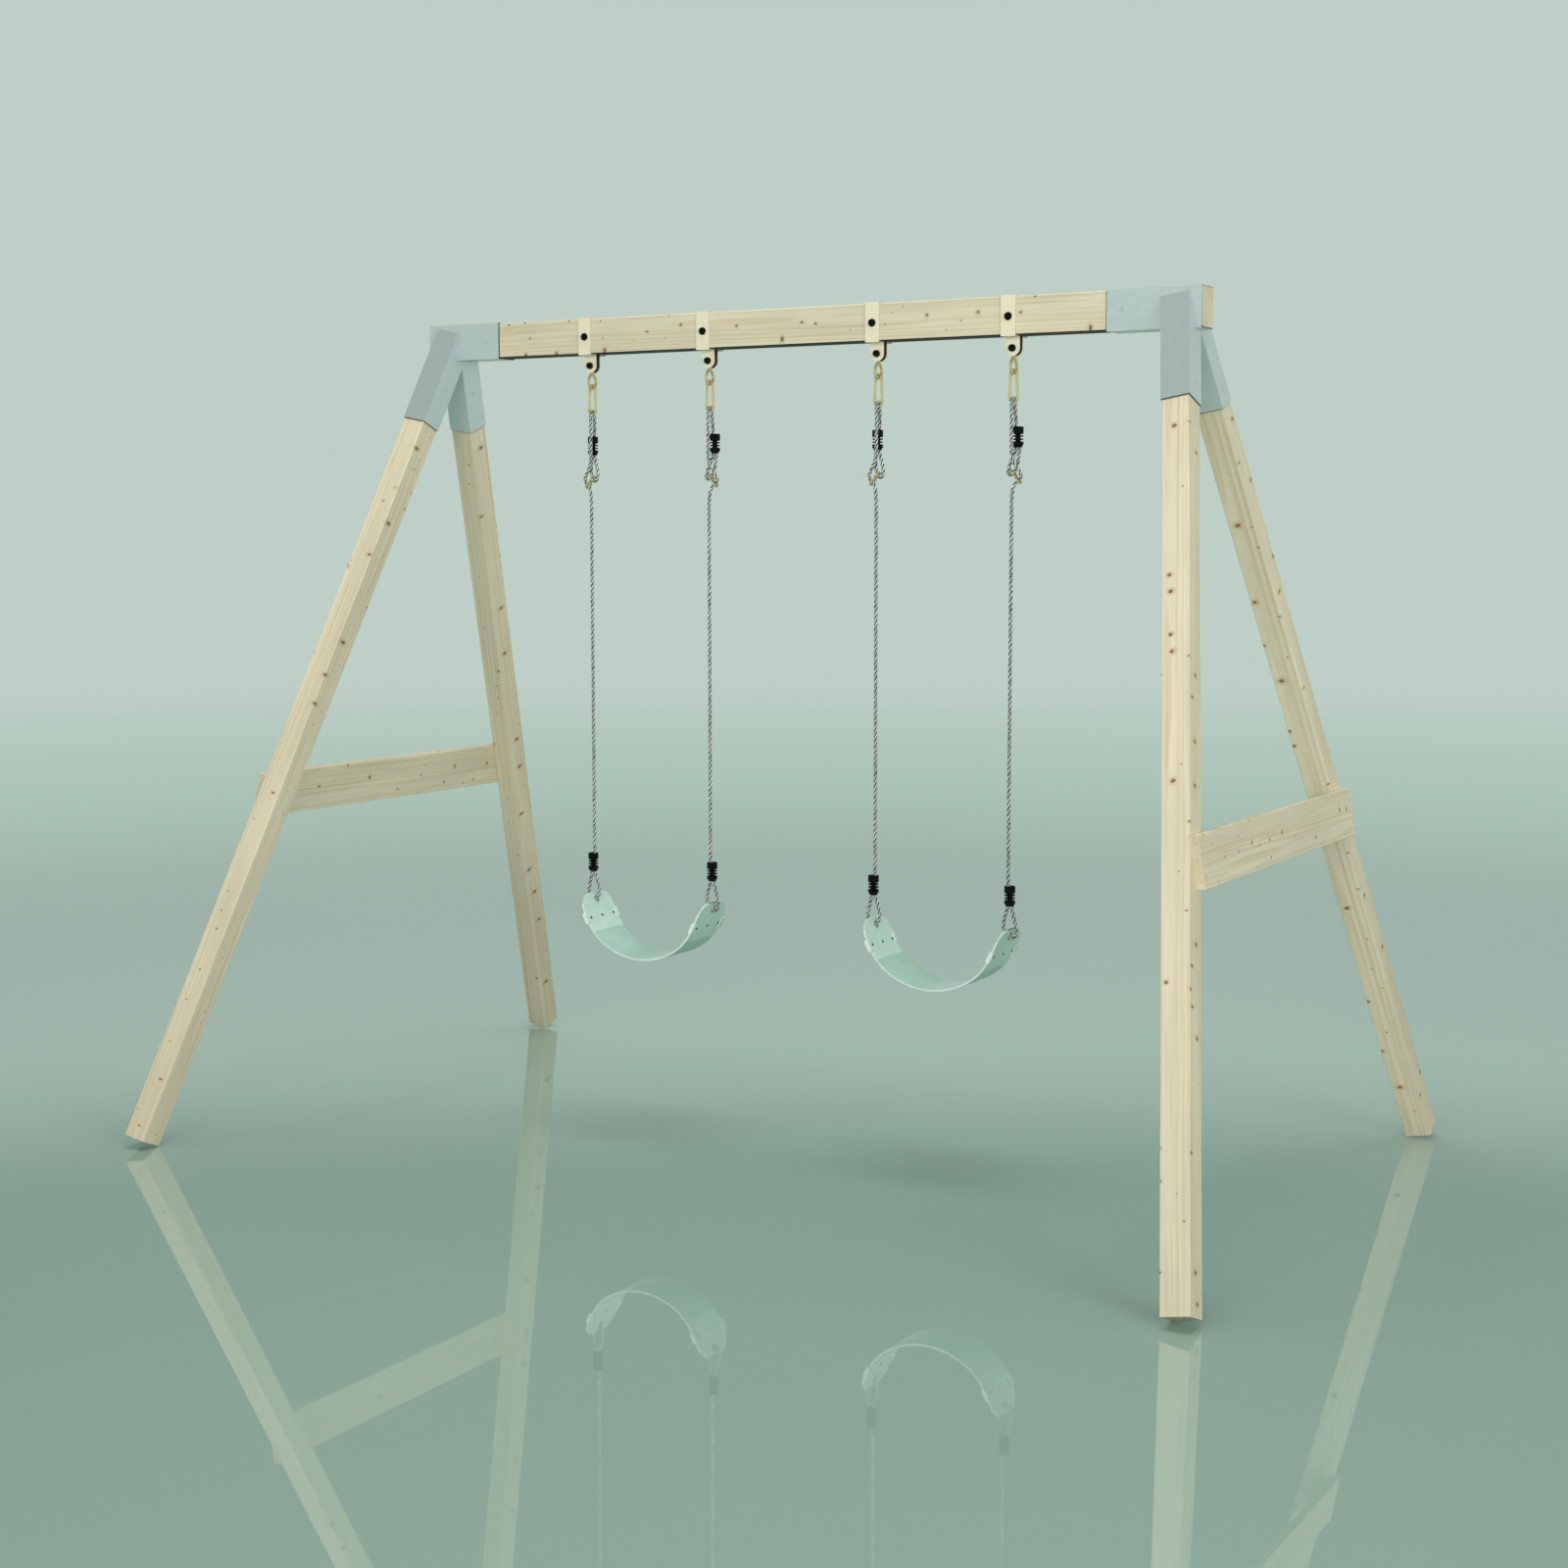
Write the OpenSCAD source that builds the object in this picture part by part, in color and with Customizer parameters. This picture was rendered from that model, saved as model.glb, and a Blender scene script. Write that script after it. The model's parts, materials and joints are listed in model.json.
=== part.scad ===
// Wooden double swing set: a beam on two splayed A-frames, with two belt seats on ropes.
// Millimetres. +X runs along the beam, -Y is the front, +Z is up.
// The origin is on the floor, under the middle of the beam.

/* [Frame] */
// Height of the beam's top face above the floor
beam_top = 2280; // [1900:10:2600]
// Depth of the beam, front to back
beam_depth = 70; // [60:1:90]
// Height of the beam's section
beam_height = 97; // [90:1:120]
// Side of the square leg timber
leg_side = 70; // [60:1:80]
// Distance between the two A-frames, measured at the beam
frame_span = 2238; // [2100:10:2800]
// Outward lean of each A-frame
lean_angle = 10; // [0:0.5:14]
// Slope of each leg inside its A-frame
leg_angle = 22.5; // [16:0.5:26]
// Radius on the long edges of all timber
timber_edge = 3; // [1:0.5:6]

/* [Corner brackets] */
// Sheet thickness of the brackets
sheet = 2; // [1.5:0.5:3]
// Gap between timber and sheet
socket_gap = 0.5; // [0.2:0.1:1]
// Length of the socket that holds the beam
beam_socket = 248; // [200:1:300]
// How far the beam socket reaches in from the A-frame plane
socket_inset = 185; // [150:1:200]
// Distance from the beam's axis to the lower edge of the leg sockets
leg_socket = 258; // [200:1:320]
// Offset of each leg's axis from the middle plane, at the beam's axis
leg_offset = 13; // [8:1:20]
// Distance from the beam's axis to the top end of each leg
leg_start = 72; // [66:1:90]
// How far the beam's end stands out of its socket
beam_stub = 2; // [0:1:20]

/* [Braces] */
// Length of the board across each A-frame
brace_length = 1144; // [1120:2:1200]
// Height of the board
brace_height = 125; // [90:1:150]
// Thickness of the board
brace_thickness = 22; // [18:1:28]
// Distance from the beam's axis down to the board's middle
brace_drop = 1313; // [1250:1:1350]

/* [Hangers] */
// Distance between the two hangers of one swing
hanger_pitch = 390; // [340:2:420]
// Distance between the middles of the two swings
swing_pitch = 912; // [880:2:1000]
// Sideways place of the pair of swings on the beam
swing_shift = 16; // [-40:1:40]
// Width of the hanger straps
strap_width = 41; // [36:1:46]
// Thickness of the hanger straps
strap_thickness = 3; // [2.5:0.5:4]
// Lip of the strap on top of the beam
strap_lip = 9; // [6:1:14]
// Gap between a front ear and a rear ear
ear_gap = 14; // [12:1:18]
// Height of the lower bolt below the beam
lower_bolt_drop = 31; // [28:1:36]
// Diameter of the bolts
bolt_diameter = 10; // [8:1:10]
// Wire diameter of the hanging eye
eye_wire = 8; // [6:0.5:9]
// Inside radius of the eye's lower bow
eye_radius = 14; // [12:1:16]
// Distance from the lower bolt to the eye's middle
eye_drop = 45; // [42:1:50]

/* [Carabiners] */
// Overall length of a carabiner
carabiner_length = 88; // [84:1:100]
// Wire diameter of a carabiner
carabiner_wire = 7.5; // [6:0.5:8]
// Radius of the upper bow, to the middle of the wire
upper_bow = 8.8; // [8.5:0.1:9.5]
// Radius of the lower bow, to the middle of the wire
lower_bow = 11.3; // [11:0.1:14]
// Distance from the carabiner's top down to the gate's pin
gate_pin_drop = 20; // [18:1:24]
// Length of the gate below its pin
gate_length = 45; // [40:1:46]

/* [Ropes] */
// Rope diameter
rope_diameter = 10; // [8:0.5:10]
// Outside diameter of the rope clamps
clamp_diameter = 29; // [27:1:34]
// Height of the rope clamps
clamp_height = 53; // [50:1:60]

/* [Seats] */
// Width of the belt
belt_width = 150; // [130:2:180]
// Thickness of the belt
belt_thickness = 5; // [4:0.5:7]
// Depth of the belt's sag below its rope holes
belt_sag = 151; // [120:1:180]
// Distance between the two rope holes
hole_pitch = 394; // [392:1:396]
// Belt beyond each rope hole
belt_end = 21; // [18:1:26]
// Radius of the belt's corners
belt_corner = 50; // [30:1:60]
// Diameter of the rope holes
hole_diameter = 22; // [20:1:26]
// Distance between neighbouring rivets
rivet_pitch = 57; // [45:1:60]
// Distance from the middle of the seat to a row of rivets
rivet_row = 178; // [172:1:182]

/* [Hidden] */
$fn = 64;

WOOD = "burlywood";
STEEL = "lightsteelblue";
ZINC = "khaki";
BLACK = "dimgray";
MINT = "mediumaquamarine";
ROPE = "gray";

// Clearances
touch = 0.3;          // between pieces of different bodies that hang on each other
running = 0.05;       // between a pin and its bore, on the radius
rope_play = 0.7;      // between a rope and the channel of a clamp, on the radius
over = 1;             // a cutter's overlap
bead = 0.1;           // what a joint between two lengths of wire stands out
lap = 0.5;            // how far a straight wire runs into a bow

// Frame
leg_half = leg_side / 2;
beam_axis = beam_top - beam_height / 2;
frame_x = frame_span / 2;
wall = socket_gap + sheet;
beam_box_y = beam_depth / 2 + wall;
beam_box_z = beam_height / 2 + wall;
leg_box = leg_half + wall;
// A leg is as long as it takes to reach the floor with the lowest corner of its square end.
corner_drop = leg_half * (sin(lean_angle) + cos(lean_angle) * sin(leg_angle));
leg_end = (beam_axis - corner_drop) / (cos(leg_angle) * cos(lean_angle));
socket_start = frame_x - socket_inset;
beam_half = socket_start + beam_socket + beam_stub;

// Hangers, from the left
SIDES = [-1, 1];
hanger_x = [for (swing = SIDES, side = SIDES)
    swing_shift + swing * swing_pitch / 2 + side * hanger_pitch / 2];
outward = [-1, 1, -1, 1];
strap_face = beam_depth / 2 + strap_thickness;
ear_face = ear_gap / 2 + strap_thickness;
beam_bottom = beam_top - beam_height;
upper_bolt_z = beam_top - 50;
lower_bolt_z = beam_bottom - lower_bolt_drop;
ear_radius = strap_width / 2 - 0.5;
bolt_r = bolt_diameter / 2;
bush_wall = 1.5;
eye_tube_r = bolt_r + bush_wall + 3;
eye_bow = eye_radius + eye_wire / 2;
eye_apex = 18;
cap_base = 1;

// Carabiners: swing_z is the axis that they swing about, bow_z the wire that a rope hangs on
carabiner_r = carabiner_wire / 2;
swing_z = lower_bolt_z - eye_drop - eye_bow + eye_wire / 2 + touch + carabiner_r;
bow_span = carabiner_length - carabiner_wire;
bow_z = swing_z - bow_span;
bow_distance = bow_span - upper_bow - lower_bow;
side_slope = asin((lower_bow - upper_bow) / bow_distance);
pin_z = swing_z + carabiner_r - gate_pin_drop;
gate_r = carabiner_r - 0.4;
gate_pin_r = 1.25;
gate_gap = 0.6;
gate_shoulder = 1.4;
tongue = 3;

// Rope clamps, down from each one's top: [height at the bottom, radius of that band]
clamp_r = clamp_diameter / 2;
clamp_waist = rope_diameter / 2 + rope_play + 1.3;
clamp_channel = rope_diameter / 2 + rope_play;
strand_pitch = rope_diameter;
upper_clamp_at = [8, 12, -62];
lower_clamp_at = [6, -6, -1249];

// The rope's middle line, from the free end in the upper clamp to the one in the lower clamp:
// [outward from its hanger, toward the back, up from the carabiner's lower wire]
ROPE_ROUTE = [
    [13, 12, -112], [13, 12, -118], [11, 6, -160], [2, 0, -181], [-7, -1, -189], [-14, 1, -183],
    [-13, 6, -163], [3, 12, -119], [3, 12, -111], [8, 12, -103], [8, 12, -78], [3, 12, -66],
    [2, 12, -48], [0, 10, 0], [0, 6, 9.5],
    [0, -6, 9.5], [0, -10, 0], [0, -11, -142], [23, -7, -176], [25, -3, -190], [16, 0, -199],
    [5, -6, -212], [1, -8, -240], [1, -6, -1253], [6, -6, -1265], [6, -6, -1290], [1, -6, -1298],
    [1, -6, -1306], [-13, -4, -1345], [-11, -3, -1374], [2, -3, -1382.5],
    [18, -3, -1388], [27, -3, -1368], [11, -6, -1306], [11, -6, -1299]
];
rope_sides = 8;

// Rope adjusters: a figure of eight with two holes on a sloping line
adjuster_middle = [9, 0, -190];
adjuster_tilt = 52;
adjuster_pitch = 22;
adjuster_r = 11.5;
adjuster_hole_r = 7.5;
adjuster_thickness = 4;

// Seats
swing_x = [for (swing = SIDES) swing_shift + swing * swing_pitch / 2];
hole_z = bow_z - 1382.5;
hole_half = hole_pitch / 2;
belt_low = hole_z - belt_sag;
rivet_r = 2;
lug_half = 17;
lug_r = 5.5;
lug_reach = 6;
lug_depth = 15;

// The belt's middle line: a flat bowl whose sides steepen towards the holes
function belt_z(u) = belt_sag * (0.6 * pow(u, 2) + 0.4 * pow(u, 7));
function belt_slope(u) = atan(belt_sag / hole_half * (1.2 * u + 2.8 * pow(u, 6)));
function belt_point(u) = [hole_half * u, belt_low + belt_z(u)];
function belt_normal(u) = [sin(belt_slope(u)), -cos(belt_slope(u))];
BELT_STEPS = [for (i = [0:20]) sin(90 * i / 20)];
belt_tip = belt_point(1) + belt_end * [cos(belt_slope(1)), sin(belt_slope(1))];

// Rounded rectangle made of true arcs
module rounded(w, d, r) {
    square([w - 2 * r, d], center = true);
    square([w, d - 2 * r], center = true);
    for (x = SIDES, y = SIDES) translate([x * (w / 2 - r), y * (d / 2 - r)]) circle(r);
}

// ---- Frame ----

// Places its children on a leg: the leg's axis runs down from the origin along -Z
module on_leg(side, front) {
    translate([side * frame_x, 0, beam_axis]) rotate([0, -side * lean_angle, 0])
        translate([0, front * leg_offset, 0]) rotate([front * leg_angle, 0, 0]) children();
}

// Places its children on an A-frame's own plane
module on_frame(side) {
    translate([side * frame_x, 0, beam_axis]) rotate([0, -side * lean_angle, 0]) children();
}

module beam() {
    color(WOOD) difference() {
        translate([0, 0, beam_axis]) rotate([0, 90, 0])
            linear_extrude(2 * beam_half, center = true) rounded(beam_height, beam_depth, timber_edge);
        for (x = hanger_x) translate([x, 0, upper_bolt_z]) rotate([90, 0, 0])
            cylinder(r = bolt_r + running, h = 2 * beam_depth, center = true);
        for (side = SIDES) beam_screw_places(side) pilot(screw_length);
    }
}

module leg(side, front) {
    color(WOOD) difference() {
        on_leg(side, front) translate([0, 0, -leg_end])
            linear_extrude(leg_end - leg_start) rounded(leg_side, leg_side, timber_edge);
        leg_screw_places(side, front) pilot(screw_length);
        brace_screw_places(side, [front]) translate([0, 0, -screw_head]) pilot(2 * screw_length);
    }
}

// A length of square tube's outside or inside along a leg
module leg_bar(side, front, half, top) {
    on_leg(side, front) translate([-half, -half, -leg_socket]) cube([2 * half, 2 * half, leg_socket + top]);
}

// A block around the beam, from one place along it to another
module beam_bar(from, to, half_y, half_z) {
    translate([from, -half_y, beam_axis - half_z]) cube([to - from, 2 * half_y, 2 * half_z]);
}

module corner_bracket(side) {
    leg_in = leg_half + socket_gap;
    color(STEEL) mirror([side < 0 ? 1 : 0, 0, 0]) difference() {
        union() {
            beam_bar(socket_start, socket_start + beam_socket, beam_box_y, beam_box_z);
            for (front = SIDES) leg_bar(1, front, leg_box, 26);
        }
        beam_bar(socket_start - over, socket_start + beam_socket + over,
            beam_box_y - sheet, beam_box_z - sheet);
        difference() {
            for (front = SIDES) leg_hollow(1, front, leg_in);
            beam_bar(socket_start - over, socket_start + beam_socket + over, beam_box_y, beam_box_z);
        }
        for (front = SIDES) leg_screw_places(1, front) pilot(screw_length);
        beam_screw_places(1) pilot(screw_length);
    }
}

// The inside of a leg socket, open at its lower end
module leg_hollow(side, front, half) {
    on_leg(side, front) translate([-half, -half, -leg_socket - over])
        cube([2 * half, 2 * half, leg_socket + over + 60]);
}

// Screws through the sides of the leg sockets: [outer or inner side, height along the leg]
screw_r = 2.5;
screw_head_r = 5.5;
screw_head = 2.2;
screw_length = 34;
screw_inset = 43;
LEG_SCREWS = [[1, 43 - leg_socket], [-1, 118 - leg_socket]];

// On the socket's sides, with +Z pointing out of the sheet
module leg_screw_places(side, front) {
    for (s = LEG_SCREWS) on_leg(side, front) translate([side * s[0] * leg_box, 0, s[1]])
        rotate([0, side * s[0] * 90, 0]) children();
}

module beam_screw_places(side) {
    for (y = SIDES) translate([side * (socket_start + screw_inset), y * beam_box_y, beam_axis])
        rotate([-y * 90, 0, 0]) children();
}

// The hole that a screw of this length needs
module pilot(length) {
    translate([0, 0, -length - over]) cylinder(r = screw_r + running, h = length + 2 * over);
}

// A domed screw that points along -Z, with the underside of its head at the origin
module screw(length) {
    translate([0, 0, -length]) cylinder(r = screw_r, h = length + 0.1);
    intersection() {
        cylinder(r = screw_head_r, h = screw_head);
        translate([0, 0, screw_head - 9]) sphere(r = 9);
    }
}

module bracket_screws() {
    color(STEEL) for (side = SIDES) {
        for (front = SIDES) leg_screw_places(side, front) screw(screw_length);
        beam_screw_places(side) screw(screw_length);
    }
}

// Heights of the two screws at each end of a board, and their distance from the leg's axis
BRACE_SCREWS = [[-1, 32], [1, -32]];

module brace(side) {
    color(WOOD) difference() {
        on_frame(side) translate([side * (leg_half + brace_thickness / 2), 0, -brace_drop])
            rotate([90, 0, 0]) linear_extrude(brace_length, center = true)
                rounded(brace_thickness, brace_height, timber_edge / 2);
        brace_screw_places(side, SIDES) {
            pilot(2 * screw_length);
            translate([0, 0, -screw_head]) cylinder(r = screw_head_r + running, h = 10);
        }
    }
}

// On the board's outer face, with +Z pointing out of it
module brace_screw_places(side, fronts) {
    leg_y = leg_offset + brace_drop * tan(leg_angle);
    for (front = fronts, s = BRACE_SCREWS) on_frame(side)
        translate([side * (leg_half + brace_thickness), front * (leg_y + s[0] * 6), s[1] - brace_drop])
            rotate([0, side * 90, 0]) children();
}

module brace_screws() {
    color(STEEL) for (side = SIDES) brace_screw_places(side, SIDES)
        translate([0, 0, -screw_head]) screw(2 * screw_length);
}

// ---- Hangers ----

// Half a strap: along the beam's front, under it and down as an ear. facing is -1 for the front
module strap(i, facing) {
    front = facing < 0 ? 1 : 0;
    color(ZINC) translate([hanger_x[i], 0, 0]) mirror([0, 1 - front, 0]) difference() {
        union() {
            translate([-strap_width / 2, -strap_face, beam_bottom - strap_thickness])
                cube([strap_width, strap_thickness, beam_height + 2 * strap_thickness]);
            translate([-strap_width / 2, -strap_face, beam_top])
                cube([strap_width, strap_thickness + strap_lip, strap_thickness]);
            translate([-strap_width / 2, -strap_face, beam_bottom - strap_thickness])
                cube([strap_width, strap_face - ear_gap / 2, strap_thickness]);
            translate([-ear_radius, -ear_face, lower_bolt_z])
                cube([2 * ear_radius, strap_thickness, lower_bolt_drop]);
            translate([0, -ear_gap / 2, lower_bolt_z]) rotate([90, 0, 0])
                cylinder(r = ear_radius, h = strap_thickness);
        }
        for (z = [upper_bolt_z, lower_bolt_z]) translate([0, 0, z]) rotate([90, 0, 0])
            cylinder(r = bolt_r + running, h = beam_depth);
    }
}

// Eye: a tube around the bush, a short neck and a pear-shaped ring of round wire in the YZ plane
module eye(i) {
    wire_r = eye_wire / 2;
    reach = eye_drop - eye_apex;
    half_apex = asin(eye_bow / reach);
    color(ZINC) translate([hanger_x[i], 0, lower_bolt_z]) difference() {
        union() {
            rotate([90, 0, 0]) cylinder(r = eye_tube_r, h = ear_gap - 2 * touch, center = true);
            translate([0, 0, -eye_apex]) cylinder(r = wire_r - bead, h = eye_apex - bolt_r - bush_wall);
            translate([0, 0, -eye_apex]) sphere(r = wire_r + bead);
            for (side = SIDES) translate([0, 0, -eye_apex]) rotate([side * (180 - half_apex), 0, 0]) {
                cylinder(r = wire_r, h = reach * cos(half_apex) + lap);
                translate([0, 0, reach * cos(half_apex)]) sphere(r = wire_r + bead);
            }
            translate([0, 0, -eye_drop]) rotate([0, -90, 0]) rotate([0, 0, 90 - half_apex])
                rotate_extrude(angle = 180 + 2 * half_apex) translate([eye_bow, 0]) circle(wire_r);
        }
        rotate([90, 0, 0]) cylinder(r = bolt_r + bush_wall + running, h = ear_gap, center = true);
    }
}

module eye_bushes() {
    color(BLACK) for (x = hanger_x) translate([x, 0, lower_bolt_z]) rotate([90, 0, 0]) difference() {
        cylinder(r = bolt_r + bush_wall, h = ear_gap - 2 * touch, center = true);
        cylinder(r = bolt_r + running, h = ear_gap, center = true);
    }
}

module bolts(z, half) {
    for (x = hanger_x) translate([x, 0, z]) rotate([90, 0, 0])
        cylinder(r = bolt_r, h = 2 * half, center = true);
}

// Domed caps on both ends of each bolt, with a flange against the strap
module caps(z, face, radius, height) {
    inside = 5;
    for (x = hanger_x, y = SIDES) translate([x, y * face, z]) rotate([-y * 90, 0, 0]) difference() {
        union() {
            cylinder(r = radius, h = cap_base);
            intersection() {
                cylinder(r = radius - 0.8, h = height);
                translate([0, 0, height - 1.15 * radius]) sphere(r = 1.15 * radius);
            }
        }
        translate([0, 0, -over]) cylinder(r = bolt_r + running, h = inside + over);
    }
}

module beam_bolts() { color(STEEL) bolts(upper_bolt_z, strap_face + 4); }
module beam_bolt_caps() { color(BLACK) caps(upper_bolt_z, strap_face, 10.5, 9); }
module eye_bolts() { color(STEEL) bolts(lower_bolt_z, ear_face + 4); }
module eye_bolt_caps() { color(BLACK) caps(lower_bolt_z, ear_face, 9.5, 12); }

// ---- Carabiners ----

// Points on the wire's middle line where a bow meets a side, seen along -Y
function bow_end(radius, middle) =
    [radius * cos(side_slope), middle + radius * sin(side_slope)];

// A straight wire in the XZ plane that runs a little past its first point, into a bow
module wire(from, to, r, end_lap) {
    run = to - from;
    translate([from[0], 0, from[1]]) {
        rotate([0, atan2(run[0], run[1]), 0]) translate([0, 0, -lap])
            cylinder(r = r, h = norm(run) + lap + end_lap);
        sphere(r = r + bead);
    }
}

module carabiner(i) {
    top_middle = -upper_bow;
    low_middle = lower_bow - bow_span;
    top_end = bow_end(upper_bow, top_middle);
    low_end = bow_end(lower_bow, low_middle);
    side = (low_end - top_end) / norm(low_end - top_end);
    left_top = [-top_end[0], top_end[1]];
    left_side = [-side[0], side[1]];
    pin_down = swing_z - pin_z;
    stub_end = left_top + left_side * ((top_end[1] + pin_down + 3) / -side[1]);
    nose_z = -pin_down - gate_length - gate_gap;
    nose = left_top + left_side * ((nose_z - top_end[1]) / side[1]);
    color(ZINC) translate([hanger_x[i], 0, swing_z]) difference() {
        union() {
            bow(upper_bow, top_middle, side_slope, 180 - 2 * side_slope);
            bow(lower_bow, low_middle, 180 - side_slope, 180 + 2 * side_slope);
            wire(top_end, low_end, carabiner_r, lap);
            translate([low_end[0], 0, low_end[1]]) sphere(r = carabiner_r + bead);
            wire(left_top, stub_end, carabiner_r, 0);
            wire([-low_end[0], low_end[1]], nose, carabiner_r, 0);
            translate([nose[0] - 2, -1.2, nose[1] - 1]) cube([4, 2.4, 4]);
        }
        translate([stub_end[0] - 10, -tongue / 2 - touch, -pin_down - 10]) cube([20, tongue + 2 * touch, 16]);
        translate([gate_pin_x(top_end, pin_down), 0, -pin_down]) rotate([90, 0, 0])
            cylinder(r = gate_pin_r + running / 2, h = 20, center = true);
    }
}

// Part of a ring of wire in the XZ plane
module bow(radius, middle, start, angle) {
    translate([0, 0, middle]) rotate([90, 0, 0]) rotate([0, 0, start])
        rotate_extrude(angle = angle) translate([radius, 0]) circle(carabiner_r);
}

// How far out the gate's pin is: on the left side's middle line, at the pin's own height
function gate_pin_x(top_end, pin_down) = -top_end[0] - (top_end[1] + pin_down) * tan(side_slope);

// Places its children at a gate's pin, turned along the carabiner's side
module at_gate(i) {
    top_end = bow_end(upper_bow, -upper_bow);
    pin_down = swing_z - pin_z;
    translate([hanger_x[i] + gate_pin_x(top_end, pin_down), 0, pin_z]) rotate([0, side_slope, 0]) children();
}

module gate(i) {
    color(ZINC) at_gate(i) difference() {
        union() {
            rotate([90, 0, 0]) cylinder(r = 2.6, h = tongue, center = true);
            translate([-2.6, -tongue / 2, -6]) cube([5.2, tongue, 6]);
            translate([0, 0, -gate_length]) cylinder(r = gate_r, h = gate_length - 3 - gate_shoulder);
        }
        rotate([90, 0, 0]) cylinder(r = gate_pin_r + running, h = 2 * tongue, center = true);
        translate([-gate_r - over, -1.6, -gate_length - over]) cube([2 * (gate_r + over), 3.2, 4.6 + over]);
    }
}

module gate_pins(first) {
    color(STEEL) for (i = [first, first + 1]) at_gate(i) rotate([90, 0, 0])
        cylinder(r = gate_pin_r, h = 2 * carabiner_r - 1, center = true);
}

// ---- Ropes ----

// Moves its children to a rope's own frame
module on_rope(i) {
    translate([hanger_x[i], 0, bow_z]) children();
}

function unit(v) = v / norm(v);
function across(n, t) = unit(n - (n * t) * t);
// One normal for each tangent, carried along the line without turning about it
function carried(tangents, i, last) = i == len(tangents) ? [] :
    let (n = across(last, tangents[i])) concat([n], carried(tangents, i + 1, n));

// A tube along a line of points, as one closed polyhedron
module tube(points, r, sides) {
    last = len(points) - 1;
    tangents = [for (i = [0:last]) unit(points[min(i + 1, last)] - points[i])
        + unit(points[i] - points[max(i - 1, 0)])];
    whole = [for (i = [0:last]) unit(i == 0 ? points[1] - points[0]
        : i == last ? points[last] - points[last - 1] : tangents[i])];
    normals = carried(whole, 0, [1, 0.3, 0.1]);
    ring = [for (i = [0:last], k = [0:sides - 1]) let (a = 360 * k / sides)
        points[i] + r * (cos(a) * normals[i] + sin(a) * cross(whole[i], normals[i]))];
    polyhedron(ring, concat(
        [[for (k = [0:sides - 1]) k]],
        [[for (k = [sides - 1:-1:0]) last * sides + k]],
        [for (i = [0:last - 1], k = [0:sides - 1]) let (a = i * sides + k, b = i * sides + (k + 1) % sides)
            [a, a + sides, b + sides, b]]
    ), convexity = 8);
}

module rope(i) {
    color(ROPE) on_rope(i)
        tube([for (p = ROPE_ROUTE) [outward[i] * p[0], p[1], p[2]]], rope_diameter / 2, rope_sides);
}

// Two round channels side by side, which two strands pass through
module channels(r, from, height) {
    translate([0, 0, from]) {
        for (x = SIDES) translate([x * strand_pitch / 2, 0, 0]) cylinder(r = r, h = height);
        translate([-strand_pitch / 2, -r, 0]) cube([strand_pitch, 2 * r, height]);
    }
}

// A band of a clamp, with a small slope on both edges
module band(top, bottom, r) {
    edge = min(1.5, (top - bottom) / 4);
    translate([0, 0, bottom]) rotate_extrude() polygon([[0, 0], [r - edge, 0], [r, edge],
        [r, top - bottom - edge], [r - edge, top - bottom], [0, top - bottom]]);
}

// Clamp from its top at the origin down: a cap, a ribbed neck that holds one strand, and a wide foot for two
module clamp() {
    color(BLACK) difference() {
        union() {
            band(0, -19, clamp_r);
            band(-22.5, -26, clamp_r - 0.5);
            band(-30.5, -34, clamp_r - 0.5);
            band(-38, -48, clamp_r);
            translate([0, 0, -clamp_height]) cylinder(r = clamp_waist, h = clamp_height - 5);
            channels(clamp_waist, -clamp_height, 14);
        }
        translate([0, 0, -clamp_height / 2]) cylinder(r = clamp_channel, h = clamp_height, center = true);
        channels(clamp_channel, -17, 17 + over);
        channels(clamp_channel, -clamp_height - over, clamp_height + over - 40);
    }
}

module clamp_at(i, place) {
    on_rope(i) translate([outward[i] * place[0], place[1], place[2]]) clamp();
}

module rope_adjuster(i) {
    color(ZINC) on_rope(i) translate([outward[i] * adjuster_middle[0], adjuster_middle[1], adjuster_middle[2]])
        rotate([0, outward[i] * adjuster_tilt, 0]) difference() {
            for (x = SIDES) translate([x * adjuster_pitch / 2, 0, 0])
                cylinder(r = adjuster_r, h = adjuster_thickness, center = true);
            for (x = SIDES) translate([x * adjuster_pitch / 2, 0, 0])
                cylinder(r = adjuster_hole_r, h = 2 * adjuster_thickness, center = true);
        }
}

// ---- Seats ----

// The belt's section, from one tip to the other
module belt_outline() {
    half = belt_thickness / 2;
    tip_normal = belt_normal(1);
    right_outer = concat([for (u = BELT_STEPS) belt_point(u) + half * belt_normal(u)],
        [belt_tip + half * tip_normal]);
    right_inner = concat([for (u = BELT_STEPS) belt_point(u) - half * belt_normal(u)],
        [belt_tip - half * tip_normal]);
    last = len(right_outer) - 1;
    left_outer = [for (i = [last:-1:1]) [-right_outer[i][0], right_outer[i][1]]];
    left_inner = [for (i = [1:last]) [-right_inner[i][0], right_inner[i][1]]];
    polygon(concat(left_outer, right_outer, [for (i = [last:-1:0]) right_inner[i]], left_inner));
}

// Places its children on the belt at u, with +Z pointing out of its outer face and +X up along it
module on_belt(side, u) {
    p = belt_point(u);
    mirror([side < 0 ? 1 : 0, 0, 0]) translate([p[0], 0, p[1]])
        rotate([0, -belt_slope(u), 0]) rotate([0, 180, 0]) mirror([1, 0, 0]) children();
}

rivet_u = rivet_row / hole_half;

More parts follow.
